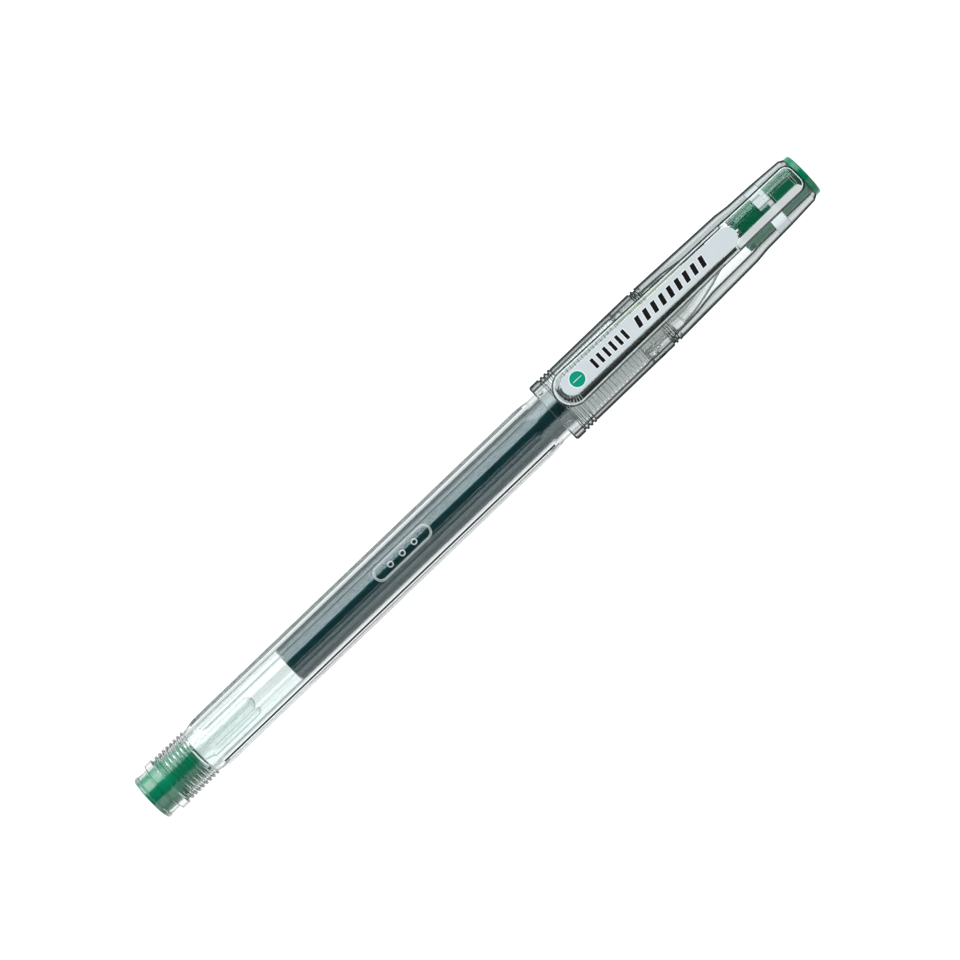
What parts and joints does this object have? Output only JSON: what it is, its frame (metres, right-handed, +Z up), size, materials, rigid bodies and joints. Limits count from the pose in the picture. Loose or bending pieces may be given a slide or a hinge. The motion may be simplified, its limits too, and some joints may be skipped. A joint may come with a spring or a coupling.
{
  "type": "gel pen",
  "caption": "Capped gel ink pen with a needle tip, a clear faceted barrel, a visible ink tube, a clear cap with a sprung clip, and coloured end plugs.",
  "frame": {"origin": "middle of the pen's length and width, on the plane that the lip of the cap rests on", "axes": "+X along the pen towards the crown of the cap, +Z up through the clip, tail at -X"},
  "size_m": [0.1392, 0.011, 0.0141],
  "materials": {
    "clear_barrel": "clear, polished",
    "clear_nose": "clear, polished",
    "clear_cap": "clear, polished",
    "clear_clip": "clear, polished",
    "clear_tube": "clear, natural polypropylene",
    "green_plastic": "gloss, slightly translucent",
    "gel_ink": "dark green-black liquid",
    "grease": "clear, pale grease",
    "float_plastic": "translucent white",
    "holder_plastic": "milky white",
    "brass": "polished",
    "steel": "bright drawn steel",
    "carbide": "polished hard metal",
    "seal_rubber": "soft, satin",
    "label_foil": "satin film, plain print"
  },
  "bodies": {
    "barrel": {"barrel": "clear_barrel", "tail_plug": "green_plastic"},
    "refill": {"refill_tube": "clear_tube", "ink": "gel_ink", "feed_ink": "gel_ink", "tip_holder": "holder_plastic", "tip_shank": "brass", "needle_pipe": "steel"},
    "follower": {"follower": "grease", "follower_float": "float_plastic"},
    "ball": {"writing_ball": "carbide"},
    "nose": {"nose_cone": "clear_nose"},
    "cap": {"cap_shell": "clear_cap", "inner_cap": "green_plastic", "tip_seal": "seal_rubber", "crown_plug": "green_plastic"},
    "clip": {"clip": "clear_clip", "clip_label": "label_foil"}
  },
  "joints": [
    {"name": "refill_draw", "type": "slide", "parent": "barrel", "child": "refill", "axis": [1, 0, 0], "range_m": [0, 0.115]},
    {"name": "ink_use", "type": "slide", "parent": "refill", "child": "follower", "axis": [1, 0, 0], "range_m": [0, 0.07], "deforming": ["ink"]},
    {"name": "ball_roll", "type": "hinge", "parent": "refill", "child": "ball", "pos_m": [0.05591, 0, 0.00548], "axis": [0, 1, 0], "continuous": true},
    {"name": "nose_turn", "type": "hinge", "parent": "refill", "child": "nose", "pos_m": [0.04045, 0, 0.00548], "axis": [1, 0, 0], "range_deg": [0, 1080]},
    {"name": "cap_pull", "type": "slide", "parent": "nose", "child": "cap", "axis": [1, 0, 0], "range_m": [0, 0.055]},
    {"name": "clip_lift", "type": "hinge", "parent": "cap", "child": "clip", "pos_m": [0.06195, 0, 0.01115], "axis": [0, 1, 0], "range_deg": [0, 5], "stiffness_Nm_per_rad": 2}
  ]
}
